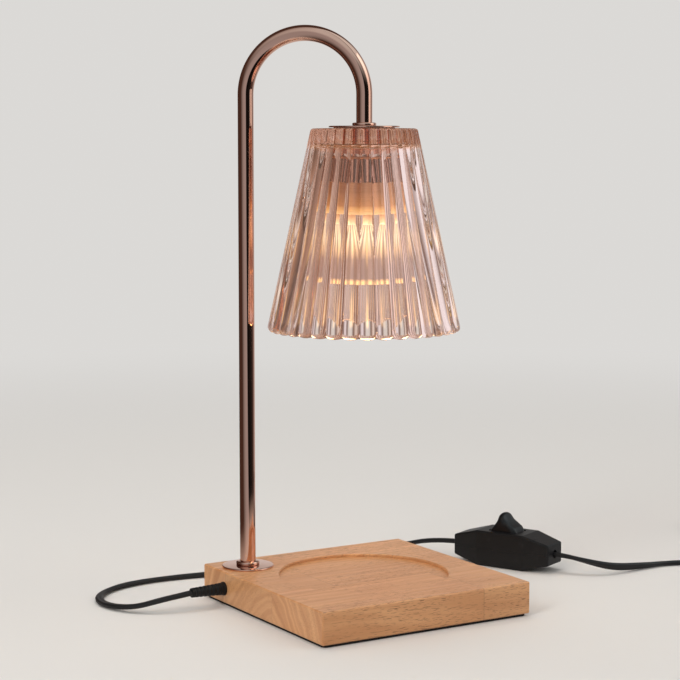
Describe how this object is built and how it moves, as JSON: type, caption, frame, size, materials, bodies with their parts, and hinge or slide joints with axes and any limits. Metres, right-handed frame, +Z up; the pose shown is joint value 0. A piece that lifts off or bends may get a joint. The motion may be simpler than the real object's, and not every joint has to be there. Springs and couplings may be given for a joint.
{
  "type": "candle warmer lamp",
  "caption": "Candle warmer lamp: square wooden base with a candle recess, bent metal pole, ribbed glass shade over a heating bulb, corded rocker switch and plug.",
  "frame": {"origin": "middle of the base's underside, on the surface the lamp stands on", "axes": "+Z up; +X and +Y along the base's edges, the pole stands near the corner on the -X +Y side"},
  "size_m": [0.522, 0.2139, 0.3652],
  "materials": {
    "beech_wood": "satin lacquered beech",
    "black_foam": "matt foam",
    "rose_gold": "polished rose-gold plating on steel",
    "zinc_steel": "zinc plated",
    "black_plastic": "satin moulded",
    "wire_sleeve": "silicone sleeve",
    "clear_silicone": "translucent silicone",
    "shade_glass": "clear pressed glass, fire polished",
    "white_ceramic": "glazed ceramic",
    "contact_brass": "bare brass",
    "nickel_pins": "nickel plated",
    "reflector_glass": "pressed glass with a mirror coat",
    "bulb_glass": "clear glass",
    "cord_black": "satin PVC"
  },
  "bodies": {
    "lamp": {"wood_base": "beech_wood", "base_pad": "black_foam", "pole_flange": "rose_gold", "lower_collar": "rose_gold", "gooseneck_tube": "rose_gold", "tube_washer": "zinc_steel", "tube_nut": "zinc_steel", "cord_bushing": "black_plastic", "inner_cable": "wire_sleeve", "upper_collar": "rose_gold", "shade_plate": "rose_gold", "upper_gasket": "clear_silicone", "glass_shade": "shade_glass", "lower_gasket": "clear_silicone", "shade_nut": "rose_gold", "holder_cap": "rose_gold", "holder_locknut": "zinc_steel", "grip_ring": "rose_gold", "holder_sleeve": "rose_gold", "holder_body": "white_ceramic", "holder_contacts": "contact_brass", "holder_spacers": "zinc_steel", "holder_screws": "zinc_steel", "switch_base": "black_plastic", "switch_cover": "black_plastic", "rocker_pin": "zinc_steel", "switch_contacts": "contact_brass", "cord_clamps": "black_plastic", "switch_screws": "zinc_steel", "cord_to_switch": "cord_black", "cord_to_plug": "cord_black", "cord_coil": "cord_black", "plug_lead": "cord_black", "cord_tie": "black_foam", "plug_body": "black_plastic", "plug_boot": "black_plastic", "plug_pins": "nickel_pins"},
    "bulb": {"bulb_base": "white_ceramic", "bulb_pins": "nickel_pins", "bulb_reflector": "reflector_glass", "bulb_lens": "bulb_glass", "bulb_capsule": "bulb_glass"},
    "rocker": {"switch_rocker": "black_plastic", "contact_bridge": "contact_brass"}
  },
  "joints": [
    {"name": "rocker_tilt", "type": "hinge", "parent": "lamp", "child": "rocker", "pos_m": [0.147, 0.0467, 0.0204], "axis": [0.9089, 0.4171, 0], "range_deg": [0, 16]},
    {"name": "bulb_twist", "type": "hinge", "parent": "lamp", "child": "bulb", "pos_m": [0, 0, 0.25], "axis": [0, 0, 1], "range_deg": [-25, 0]}
  ]
}
